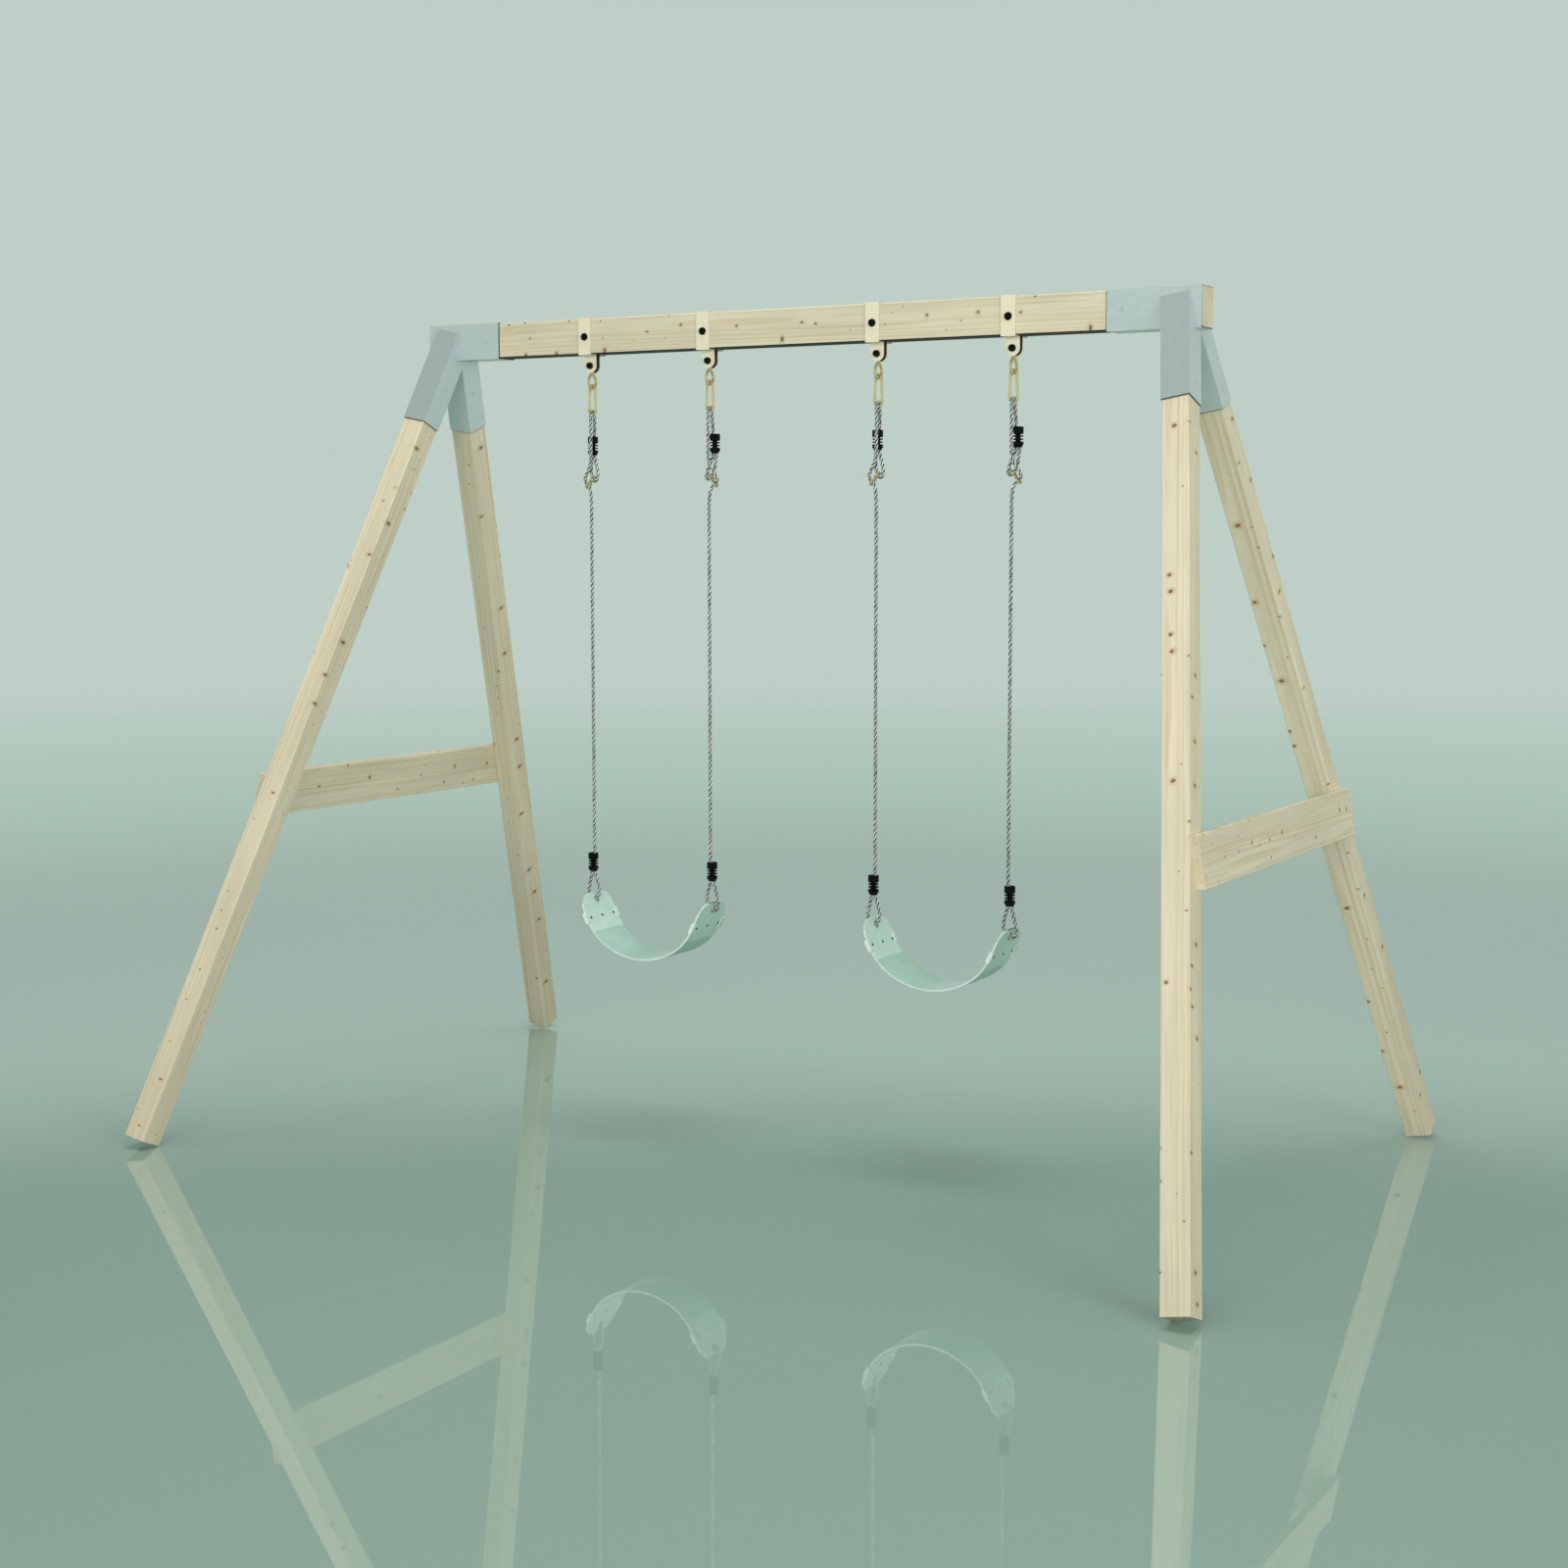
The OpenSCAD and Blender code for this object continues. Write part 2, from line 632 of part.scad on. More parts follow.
module belt() {
    difference() {
        union() {
            rotate([90, 0, 0]) linear_extrude(belt_width, center = true) belt_outline();
            for (side = SIDES, y = SIDES) on_belt(side, rivet_u)
                translate([0, y * (belt_width / 2 + lug_reach - lug_depth / 2), 0]) lug();
        }
        for (side = SIDES) {
            on_belt(side, 1) cylinder(r = hole_diameter / 2, h = 40, center = true);
            for (y = SIDES) on_belt(side, 1) translate([belt_end, y * belt_width / 2, 0]) corner_cut(y);
            for (y = [-1:1]) on_belt(side, rivet_u) translate([0, y * rivet_pitch, 0])
                cylinder(r = rivet_r + running, h = 40, center = true);
        }
    }
}

// The swelling at the belt's edge beside a row of rivets
module lug() {
    rotate([90, 0, 0]) {
        for (x = SIDES) translate([x * (lug_half - lug_r), 0, 0])
            cylinder(r = lug_r, h = lug_depth, center = true);
        cube([2 * (lug_half - lug_r), 2 * lug_r, lug_depth], center = true);
    }
}

// What a rounded corner leaves out; the corner is at the origin and the belt is on -X
module corner_cut(y) {
    translate([-belt_corner, -y * belt_corner, -10]) difference() {
        translate([0, y > 0 ? 0 : -belt_corner - over, 0]) cube([belt_corner + over, belt_corner + over, 20]);
        translate([0, 0, -over]) cylinder(r = belt_corner, h = 22);
    }
}

module seat(k) {
    color(MINT) translate([swing_x[k], 0, 0]) belt();
}

module seat_rivets(k) {
    head = 1;
    color(BLACK) translate([swing_x[k], 0, 0]) for (side = SIDES, y = [-1:1])
        on_belt(side, rivet_u) translate([0, y * rivet_pitch, 0]) {
            cylinder(r = rivet_r, h = belt_thickness + 2 * head, center = true);
            for (z = SIDES) translate([0, 0, z * (belt_thickness / 2 + head)])
                cylinder(r = rivet_r + 1.5, h = head, center = true);
        }
}

beam();
corner_bracket(-1);  // corner_bracket_left
corner_bracket(1);  // corner_bracket_right
leg(-1, -1);  // leg_left_front
leg(-1, 1);  // leg_left_rear
leg(1, -1);  // leg_right_front
leg(1, 1);  // leg_right_rear
brace(-1);  // brace_left
brace(1);  // brace_right
bracket_screws();
brace_screws();
strap(0, -1);  // strap_front_1
strap(1, -1);  // strap_front_2
strap(2, -1);  // strap_front_3
strap(3, -1);  // strap_front_4
strap(0, 1);  // strap_rear_1
strap(1, 1);  // strap_rear_2
strap(2, 1);  // strap_rear_3
strap(3, 1);  // strap_rear_4
eye(0);  // eye_1
eye(1);  // eye_2
eye(2);  // eye_3
eye(3);  // eye_4
beam_bolts();
beam_bolt_caps();
eye_bolts();
eye_bolt_caps();
eye_bushes();
carabiner(0);  // carabiner_1
carabiner(1);  // carabiner_2
carabiner(2);  // carabiner_3
carabiner(3);  // carabiner_4
gate(0);  // gate_1
gate(1);  // gate_2
gate(2);  // gate_3
gate(3);  // gate_4
gate_pins(0);  // gate_pins_left
gate_pins(2);  // gate_pins_right
rope(0);  // rope_1
rope(1);  // rope_2
rope(2);  // rope_3
rope(3);  // rope_4
rope_adjuster(0);  // rope_adjuster_1
rope_adjuster(1);  // rope_adjuster_2
rope_adjuster(2);  // rope_adjuster_3
rope_adjuster(3);  // rope_adjuster_4
clamp_at(0, upper_clamp_at);  // upper_clamp_1
clamp_at(1, upper_clamp_at);  // upper_clamp_2
clamp_at(2, upper_clamp_at);  // upper_clamp_3
clamp_at(3, upper_clamp_at);  // upper_clamp_4
clamp_at(0, lower_clamp_at);  // lower_clamp_1
clamp_at(1, lower_clamp_at);  // lower_clamp_2
clamp_at(2, lower_clamp_at);  // lower_clamp_3
clamp_at(3, lower_clamp_at);  // lower_clamp_4
seat(0);  // seat_left
seat(1);  // seat_right
seat_rivets(0);  // seat_rivets_left
seat_rivets(1);  // seat_rivets_right
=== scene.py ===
"""Looks of a wooden double swing set: timber, galvanised brackets, plated hangers, laid ropes and belt seats.

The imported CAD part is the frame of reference. Its solids keep their places and get procedural finishes, and the
ropes are rebuilt as three twisted strands along the same middle line. Lengths are in metres, +X runs along the
beam, -Y is the front and +Z is up.
"""

import json
import logging
import math
from dataclasses import dataclass, field
from enum import Enum
from typing import Iterable, Sequence

import bpy
import numpy as np
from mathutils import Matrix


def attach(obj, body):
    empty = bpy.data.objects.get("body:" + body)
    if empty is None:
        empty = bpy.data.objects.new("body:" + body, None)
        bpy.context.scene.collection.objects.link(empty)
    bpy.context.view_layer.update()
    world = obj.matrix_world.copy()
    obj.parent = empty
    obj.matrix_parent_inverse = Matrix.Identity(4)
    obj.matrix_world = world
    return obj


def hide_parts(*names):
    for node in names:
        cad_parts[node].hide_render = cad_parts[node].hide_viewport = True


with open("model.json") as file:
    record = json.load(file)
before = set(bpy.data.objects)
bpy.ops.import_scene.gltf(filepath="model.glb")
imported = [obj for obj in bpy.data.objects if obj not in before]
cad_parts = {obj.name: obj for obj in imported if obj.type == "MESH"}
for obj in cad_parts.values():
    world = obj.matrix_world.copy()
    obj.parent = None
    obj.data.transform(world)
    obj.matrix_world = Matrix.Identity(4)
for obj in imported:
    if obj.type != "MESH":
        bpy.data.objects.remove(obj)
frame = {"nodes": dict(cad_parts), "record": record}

LOG = logging.getLogger("swing_set")
Colour = tuple[float, float, float]


# ---------------------------------------------------------------- sizes that the CAD part also has

BEAM_AXIS = 2.2315
FRAME_X = 1.119
LEAN = math.radians(10)
LEG_SLOPE = math.radians(22.5)
LEG_OFFSET = 0.013
BRACE_DROP = 1.313
BRACE_OUT = 0.046
SLEEVE_HALF = (0.042, 0.054)
SWING_SHIFT = 0.016
SWING_HALF_PITCH = 0.456
HOLE_HALF_PITCH = 0.197
HOLE_SLOPE = math.radians(71.9)
BELT_END_REACH = 0.152
HANGER_X = (-0.635, -0.245, 0.277, 0.667)
OUTWARD = (-1, 1, -1, 1)
BOW_Z = 2.01655
ROPE_DIAMETER = 0.010
ROPE_ROUTE_MM = (
    (13, 12, -112), (13, 12, -118), (11, 6, -160), (2, 0, -181), (-7, -1, -189), (-14, 1, -183),
    (-13, 6, -163), (3, 12, -119), (3, 12, -111), (8, 12, -103), (8, 12, -78), (3, 12, -66),
    (2, 12, -48), (0, 10, 0), (0, 6, 9.5),
    (0, -6, 9.5), (0, -10, 0), (0, -11, -142), (23, -7, -176), (25, -3, -190), (16, 0, -199),
    (5, -6, -212), (1, -8, -240), (1, -6, -1253), (6, -6, -1265), (6, -6, -1290), (1, -6, -1298),
    (1, -6, -1306), (-13, -4, -1345), (-11, -3, -1374), (2, -3, -1382.5),
    (18, -3, -1388), (27, -3, -1368), (11, -6, -1306), (11, -6, -1299),
)

# ---------------------------------------------------------------- sizes and levels of the looks alone

NO_SLEEVE = 9.0
SLEEVE_SHADOW_GAP = 0.0012
HOLE_WALL_REACH = 0.014
ROPE_BEND = 0.022
ROPE_SPACING = 0.0019
FLOOR_REACH = 120.0
# painted shade under the beam, as the share of the colour taken away
UNDER_BEAM_SHADE = 0.985
# painted shade on the straps' narrow edges
STRAP_EDGE_SHADE = 0.35
# painted shade on the rear straps' inner faces
REAR_STRAP_SHADE = 0.93
# painted shade on the brackets' cut sleeve ends
CUT_END_SHADE = 0.85
# painted shade on the belts' hole walls
HOLE_WALL_SHADE = 0.75
PARALLEL = 0.985


class Side(Enum):
    """Left or right, with the sign of X there."""

    LEFT = -1
    RIGHT = 1


class Row(Enum):
    """Front or rear, with the sign of Y there."""

    FRONT = -1
    REAR = 1


class Domain(Enum):
    """Where a mesh attribute is stored."""

    POINT = "POINT"
    FACE = "FACE"


# ---------------------------------------------------------------- shader graphs


class Value:
    """An output of a shader node that arithmetic works on, with numbers, colours and other outputs on either side."""

    def __init__(self, graph: "Graph", socket: bpy.types.NodeSocket) -> None:
        """Wraps a socket.

        Args:
            graph: The graph that the socket belongs to.
            socket: The output socket.
        """
        self.graph = graph
        self.socket = socket

    @property
    def wide(self) -> bool:
        """True for a vector or a colour, False for a single number."""
        return self.socket.type in ("VECTOR", "RGBA")

    def _join(self, operation: str, first: object, second: object) -> "Value":
        """Makes a Math or a Vector Math node for two operands.

        Args:
            operation: The operation's name in both nodes.
            first: The left operand.
            second: The right operand.

        Returns:
            The node's result.
        """
        wide = any(isinstance(v, tuple) or (isinstance(v, Value) and v.wide) for v in (first, second))
        if wide:
            first, second = (v if isinstance(v, (Value, tuple)) else (v, v, v) for v in (first, second))
            return self.graph.make("ShaderNodeVectorMath", {0: first, 1: second}, operation=operation)
        return self.graph.make("ShaderNodeMath", {0: first, 1: second}, operation=operation)

    def __add__(self, other: object) -> "Value":
        """This value plus another."""
        return self._join("ADD", self, other)

    def __radd__(self, other: object) -> "Value":
        """A number or a colour plus this value."""
        return self._join("ADD", other, self)

    def __sub__(self, other: object) -> "Value":
        """This value less another."""
        return self._join("SUBTRACT", self, other)

    def __rsub__(self, other: object) -> "Value":
        """A number or a colour less this value."""
        return self._join("SUBTRACT", other, self)

    def __mul__(self, other: object) -> "Value":
        """This value times another."""
        return self._join("MULTIPLY", self, other)

    def __rmul__(self, other: object) -> "Value":
        """A number or a colour times this value."""
        return self._join("MULTIPLY", other, self)

    def __truediv__(self, other: object) -> "Value":
        """This value divided by another."""
        return self._join("DIVIDE", self, other)

    def __rtruediv__(self, other: object) -> "Value":
        """A number or a colour divided by this value."""
        return self._join("DIVIDE", other, self)

    def __pow__(self, other: float) -> "Value":
        """This value to a power."""
        return self._join("POWER", self, other)

    def apply(self, operation: str, other: float = 0.5) -> "Value":
        """One Math node on a single number.

        Args:
            operation: The Math node's operation, such as "SINE".
            other: The second input, where the operation has one.

        Returns:
            The node's result.
        """
        return self.graph.make("ShaderNodeMath", {0: self, 1: other}, operation=operation)

    def length(self) -> "Value":
        """The length of a vector."""
        return self.graph.make("ShaderNodeVectorMath", {0: self}, output="Value", operation="LENGTH")

    def parts(self) -> tuple["Value", "Value", "Value"]:
        """The three components of a vector."""
        node = self.graph.node("ShaderNodeSeparateXYZ", {0: self})
        return tuple(Value(self.graph, o) for o in node.outputs)

    def step(self, low: float, high: float, start: float = 0.0, end: float = 1.0) -> "Value":
        """A smooth step between two levels.

        Args:
            low: Input where the result is start.
            high: Input where the result is end.
            start: Result at and below low.
            end: Result at and above high.

        Returns:
            The node's result.
        """
        inputs = {0: self, 1: low, 2: high, 3: start, 4: end}
        return self.graph.make("ShaderNodeMapRange", inputs, interpolation_type="SMOOTHSTEP")


class Graph:
    """The shader nodes of a material or a world, around one shader."""

    def __init__(self, owner: bpy.types.ID, shader: str, output: str) -> None:
        """Empties the node tree and makes a shader and an output.

        Args:
            owner: The material or the world.
            shader: The shader node's type name.
            output: The output node's type name.
        """
        self.owner = owner
        owner.use_nodes = True
        self.tree = owner.node_tree
        self.tree.nodes.clear()
        self.shader = self.node(shader)
        self.output = self.node(output)
        self.finish(self.shader)

    @classmethod
    def of_material(cls, name: str) -> "Graph":
        """A new material's graph, around a Principled shader.

        Args:
            name: The material's name.

        Returns:
            The graph.
        """
        return cls(bpy.data.materials.new(name), "ShaderNodeBsdfPrincipled", "ShaderNodeOutputMaterial")

    @classmethod
    def of_world(cls, name: str) -> "Graph":
        """A new world's graph, around a Background shader.

        Args:
            name: The world's name.

        Returns:
            The graph.
        """
        return cls(bpy.data.worlds.new(name), "ShaderNodeBackground", "ShaderNodeOutputWorld")

    def finish(self, shader: bpy.types.Node) -> None:
        """Links a shader node to the output.

        Args:
            shader: The node.
        """
        self.tree.links.new(shader.outputs[0], self.output.inputs["Surface"])

    def node(self, kind: str, inputs: dict | None = None, **settings: object) -> bpy.types.Node:
        """Makes any node.

        Args:
            kind: The node's type name.
            inputs: Input name or number to a Value, which is linked, or a number or tuple, which is set.
            **settings: The node's own properties.

        Returns:
            The node.
        """
        node = self.tree.nodes.new(kind)
        for key, value in settings.items():
            setattr(node, key, value)
        for key, value in (inputs or {}).items():
            self.feed(node.inputs[key], value)
        return node

    def make(self, kind: str, inputs: dict | None = None, output: str | int = 0, **settings: object) -> Value:
        """Makes a node and wraps one of its outputs.

        Args:
            kind: The node's type name.
            inputs: As for node.
            output: The output's name or number.
            **settings: The node's own properties.

        Returns:
            The wrapped output.
        """
        return Value(self, self.node(kind, inputs, **settings).outputs[output])

    def feed(self, socket: bpy.types.NodeSocket, value: object) -> None:
        """Links or sets one input.

        Args:
            socket: The input.
            value: A Value, a number or a tuple.
        """
        if isinstance(value, Value):
            self.tree.links.new(value.socket, socket)
        elif socket.type == "RGBA" and isinstance(value, tuple) and len(value) == 3:
            socket.default_value = (*value, 1.0)
        else:
            socket.default_value = value

    def surface(self, **inputs: object) -> None:
        """Sets the Principled shader's inputs, with underscores for spaces in their names."""
        for key, value in inputs.items():
            self.feed(self.shader.inputs[key.replace("_", " ")], value)

    def coords(self, scale: tuple[float, float, float] = (1, 1, 1)) -> Value:
        """Object coordinates through a Mapping node.

        Args:
            scale: The mapping's scale.

        Returns:
            The scaled coordinates.
        """
        place = self.make("ShaderNodeTexCoord", output="Object")
        return self.make("ShaderNodeMapping", {"Vector": place, "Scale": scale})

    def attribute(self, name: str, output: str = "Vector") -> Value:
        """A mesh attribute.

        Args:
            name: The attribute's name.
            output: "Vector" or "Fac".

        Returns:
            The attribute's value.
        """
        return self.make("ShaderNodeAttribute", output=output, attribute_name=name)

    def noise(self, vector: Value, scale: float, detail: float = 2.0, output: str = "Fac") -> Value:
        """Fractal noise from 0 to 1.

        Args:
            vector: Where to sample it.
            scale: Its frequency, in cycles per unit.
            detail: The number of octaves.
            output: "Fac" for a number or "Color" for three.

        Returns:
            The noise.
        """
        return self.make("ShaderNodeTexNoise", {"Vector": vector, "Scale": scale, "Detail": detail}, output=output)

    def unshaded(self) -> Value:
        """What a piece's "shade" attribute leaves of its colour, from 1 for none to 0 for black."""
        return 1.0 - self.attribute("shade", "Fac")

    def mix(self, factor: object, first: object, second: object) -> Value:
        """A blend of two colours.

        Args:
            factor: 0 for the first, 1 for the second.
            first: The first colour.
            second: The second colour.

        Returns:
            The blended colour.
        """
        node = self.node("ShaderNodeMix", {0: factor, 6: first, 7: second}, data_type="RGBA")
        return Value(self, node.outputs[2])

    def join(self, x: object, y: object, z: object) -> Value:
        """A vector of three numbers.

        Args:
            x: First component.
            y: Second component.
            z: Third component.

        Returns:
            The vector.
        """
        return self.make("ShaderNodeCombineXYZ", {0: x, 1: y, 2: z})

    def bump(self, height: Value, distance: float, strength: float = 1.0) -> Value:
        """A normal from a height.

        Args:
            height: The height, from 0 to 1.
            distance: The height's full range, in metres.
            strength: How much of it shows.

        Returns:
            The normal.
        """
        inputs = {"Height": height, "Distance": distance, "Strength": strength}
        return self.make("ShaderNodeBump", inputs, output="Normal")


# ---------------------------------------------------------------- finishes


@dataclass(frozen=True)
class Finish:
    """A surface finish, which builds its own material."""

    name: str

    def build(self) -> bpy.types.Material:
        """Makes the material.

        Returns:
            The material.
        """
        graph = Graph.of_material(self.name)
        self.paint(graph)
        return graph.owner

    def paint(self, graph: Graph) -> None:
        """Fills in the shader.

        Args:
            graph: The material's graph.
        """
        raise NotImplementedError


@dataclass(frozen=True)
class Timber(Finish):
    """Planed softwood with growth rings about a pith, fine fibres and knots.

    The "grain" attribute holds the distance along the piece and the two distances from the pith.
    """

    pale: Colour = (0.80, 0.695, 0.525)
    late: Colour = (0.67, 0.51, 0.31)
    knot: Colour = (0.15, 0.05, 0.025)
    ring: float = 0.0055

    def paint(self, graph: Graph) -> None:
        """Paints rings, fibres, knots, the painted shadow beside a sleeve and the painted shade under the beam.

        Args:
            graph: The material's graph.
        """
        grain = graph.attribute("grain")
        end = graph.attribute("end_face", "Fac")
        along, across, deep = grain.parts()
        slow = graph.noise(graph.join(along * 0.9, across * 7.0, deep * 7.0), 1.0, 2.0, "Color")
        wander = (slow - (0.5, 0.5, 0.5)) * 0.016
        knot, halo = self.knots(graph, grain)
        shifted = graph.join(0.0, across, deep) + wander * (0.0, 1.0, 1.0)
        radius = shifted.length() + halo * 0.004
        ring = (radius / self.ring).apply("FRACT")
        late = ring.step(0.25, 0.86) * ring.step(0.9, 1.0, 1.0, 0.0)
        blotch = graph.noise(graph.join(along * 2.2, across * 16.0, deep * 16.0), 1.0, 3.0)
        fibre = graph.noise(graph.join(along * 9.0, across * 520.0, deep * 520.0), 1.0, 2.0)
        streak = graph.noise(graph.join(along * 1.4, across * 110.0, deep * 110.0), 1.0, 2.0)
        amount = late * (end.step(0.0, 1.0, 0.42, 0.75)) + streak.step(0.50, 0.74, 0.0, 0.55)
        tone = graph.mix(amount, self.pale, self.late)
        tone = tone * (blotch.step(0.3, 0.75, 0.93, 1.05)) * fibre.step(0.2, 0.8, 0.95, 1.03)
        tone = graph.mix(halo * 0.5, tone, (0.58, 0.36, 0.18))
        place, line, _ = graph.attribute("sleeve").parts()
        shadow = (place.apply("ABSOLUTE") - line).apply("ABSOLUTE").step(0.0010, 0.0016, 0.08, 1.0)
        # painted shade under the beam and a painted shadow line beside each sleeve's end darken the wood
        tone = graph.mix(knot, tone, self.knot) * graph.unshaded() * shadow
        relief = late * 0.35 + fibre * 0.45 + knot * 0.3
        graph.surface(
            Base_Color=tone,
            Roughness=fibre.step(0.0, 1.0, 0.52, 0.66),
            Normal=graph.bump(relief, 0.0004, 0.6),
            Specular_IOR_Level=0.35,
        )

    def knots(self, graph: Graph, grain: Value) -> tuple[Value, Value]:
        """Scattered knots: a dark core and the disturbed grain around it.

        Args:
            graph: The material's graph.
            grain: Place along and about the pith.

        Returns:
            How much of the core and how much of the halo shows, each from 0 to 1.
        """
        along, across, deep = (grain + (graph.noise(grain, 160.0, 1.0, "Color") - (0.5, 0.5, 0.5)) * 0.004).parts()
        angle = deep.apply("ARCTAN2", across)
        reach = graph.join(across, deep, 0.0).length()
        place = graph.join(along, angle * 0.078, 0.0)
        cells = graph.node("ShaderNodeTexVoronoi", {"Vector": place, "Scale": 19.0}, voronoi_dimensions="2D")
        distance = Value(graph, cells.outputs["Distance"]) / 19.0
        chance, size, _ = Value(graph, cells.outputs["Color"]).parts()
        keep = chance.step(0.46, 0.48)
        radius = size.step(0.2, 1.0, 0.0012, 0.0042) * reach.step(0.0, 0.09, 0.5, 1.2)
        core = (distance / radius).step(0.75, 1.05, 1.0, 0.0)
        heart = (distance / radius).step(0.2, 0.65, 0.6, 1.0)
        halo = (distance / radius).step(0.8, 3.0, 1.0, 0.0)
        return core * heart * keep * 0.92, halo * keep


@dataclass(frozen=True)
class Metal(Finish):
    """Bare or plated metal with a faint crystalline or brushed mottle."""

    colour: Colour
    roughness: float
    metallic: float = 1.0
    grain: float = 60.0
    mottle: float = 0.08
    relief: float = 0.00005

    def paint(self, graph: Graph) -> None:
        """Paints a mottle of crystals and cloud.

        Args:
            graph: The material's graph.
        """
        place = graph.coords()
        cells = graph.make("ShaderNodeTexVoronoi", {"Vector": place, "Scale": self.grain}, output="Color")
        shade = cells.parts()[0]
        cloud = graph.noise(place, self.grain * 0.35, 3.0)
        fine = graph.noise(place, self.grain * 12.0, 2.0)
        level = 1.0 - self.mottle * 0.5 + (shade * 0.6 + cloud * 0.4) * self.mottle
        graph.surface(
            # painted shade: the shade attribute darkens strap edges, rear strap inner faces and bracket cut ends
            Base_Color=level * self.colour * graph.unshaded(),
            Metallic=self.metallic,
            Roughness=self.roughness * (0.85 + 0.3 * cloud),
            Normal=graph.bump(fine, self.relief, 0.5),
        )


@dataclass(frozen=True)
class Plastic(Finish):
    """Moulded plastic with a soft sheen."""

    colour: Colour
    roughness: float
    coat: float = 0.0

    def paint(self, graph: Graph) -> None:
        """Paints a fine even grain.

        Args:
            graph: The material's graph.
        """
        fine = graph.noise(graph.coords(), 900.0, 2.0)
        graph.surface(
            Base_Color=graph.mix(fine, tuple(c * 0.85 for c in self.colour), self.colour),
            Roughness=self.roughness * (0.9 + 0.2 * fine),
            Coat_Weight=self.coat,
            Coat_Roughness=0.12,
            Specular_IOR_Level=0.2,
            Normal=graph.bump(fine, 0.00004, 0.5),
        )


@dataclass(frozen=True)
class LaidRope(Finish):
    """Grey laid rope of light and dark yarns.

    The "lay" attribute holds the cosine and sine of the place around a strand, which turn with its yarns, and the
    distance along it. The "groove" attribute is 0 between the strands and 1 on their crowns.
    """

    light: Colour = (0.95, 0.97, 0.94)
    dark: Colour = (0.02, 0.02, 0.024)
    yarns: float = 7.0

    def paint(self, graph: Graph) -> None:
        """Paints flecked yarns, with painted shade between the strands.

        Args:
            graph: The material's graph.
        """
        across, up, along = graph.attribute("lay").parts()
        groove = graph.attribute("groove", "Fac")
        angle = up.apply("ARCTAN2", across)
        yarn = (angle * self.yarns).apply("SINE") * 0.5 + 0.5
        fleck = graph.noise(graph.join(across * 2.4, up * 2.4, along * 70.0), 1.0, 2.0)
        hair = graph.noise(graph.join(across * 9.0, up * 9.0, along * 300.0), 1.0, 2.0)
        dark = fleck.step(0.50, 0.58)
        tone = graph.mix(dark * 0.85, self.light, self.dark)
        # painted shade: the colour falls nearly to black in the grooves between the strands
        tone = tone * groove.step(0.58, 0.92, 0.03, 1.0) * yarn.step(0.0, 0.5, 0.6, 1.0)
        tone = tone * hair.step(0.2, 0.8, 0.8, 1.15)
        graph.surface(
            Base_Color=tone,
            Roughness=0.85,
            Normal=graph.bump(yarn * 0.7 + hair * 0.3, 0.0004, 0.8),
            Specular_IOR_Level=0.2,
        )


@dataclass(frozen=True)
class Belt(Finish):
    """Translucent mint belt, paler at its two ends.

    The "rim" attribute marks painted highlight: 1 on the ribbed narrow edges, 2 on the swellings by the rivets.
    """

    colour: Colour = (0.44, 0.63, 0.54)
    end: Colour = (0.59, 0.75, 0.67)
    # near-white colour of the painted highlight on the edges and lugs
    rim: Colour = (0.96, 1.0, 0.98)

    def paint(self, graph: Graph) -> None:
        """Paints the clouded sheet, its paler ends and a painted highlight on its ribbed edges.

        Args:
            graph: The material's graph.
        """
        rim = graph.attribute("rim", "Fac")
        place = graph.coords()
        x = place.parts()[0]
        reach = ((x - SWING_SHIFT).apply("ABSOLUTE") - SWING_HALF_PITCH).apply("ABSOLUTE")
        cloud = graph.noise(place, 25.0, 3.0)
        fine = graph.noise(place, 700.0, 2.0)
        rib = (x * 1100.0).apply("SINE") * 0.5 + 0.5
        tone = graph.mix(reach.step(BELT_END_REACH, BELT_END_REACH + 0.002), self.colour, self.end)
        tone = tone * cloud.step(0.2, 0.8, 0.95, 1.03)
        # painted highlight in stripes on the edges and fully on the lugs; painted shade on the hole walls
        tone = graph.mix(rim * (0.45 + rib * 0.5), tone, self.rim) * graph.unshaded()
        graph.surface(
            Base_Color=tone,
            Roughness=fine.step(0.0, 1.0, 0.26, 0.38),
            Subsurface_Weight=0.3,
            Subsurface_Radius=(0.6, 1.0, 0.8),
            Subsurface_Scale=0.006,
            Normal=graph.bump(fine * 0.3 + rib * rim, 0.0003, 0.5),
            Coat_Weight=0.2,
            Coat_Roughness=0.15,
        )


@dataclass(frozen=True)
class StudioFloor(Finish):
    """Plain floor with a soft mirror, which turns into the backdrop far away."""

    near: Colour
    middle: Colour
    far: Colour

    def paint(self, graph: Graph) -> None:
        """Paints the floor and blends it into the backdrop.

        Args:
            graph: The material's graph.
        """
        x, y, _ = graph.coords().parts()
        reach = graph.join(x, y, 0.0).length()
        graph.surface(Base_Color=self.near, Roughness=0.015, IOR=2.3)
        colour = graph.mix(reach.step(6.0, 22.0), self.middle, self.far)
        glow = graph.node("ShaderNodeEmission", {"Color": colour, "Strength": 1.0})
        both = graph.node("ShaderNodeMixShader", {0: reach.step(3.6, 10.0)})
        graph.tree.links.new(graph.shader.outputs[0], both.inputs[1])
        graph.tree.links.new(glow.outputs[0], both.inputs[2])
        graph.finish(both)


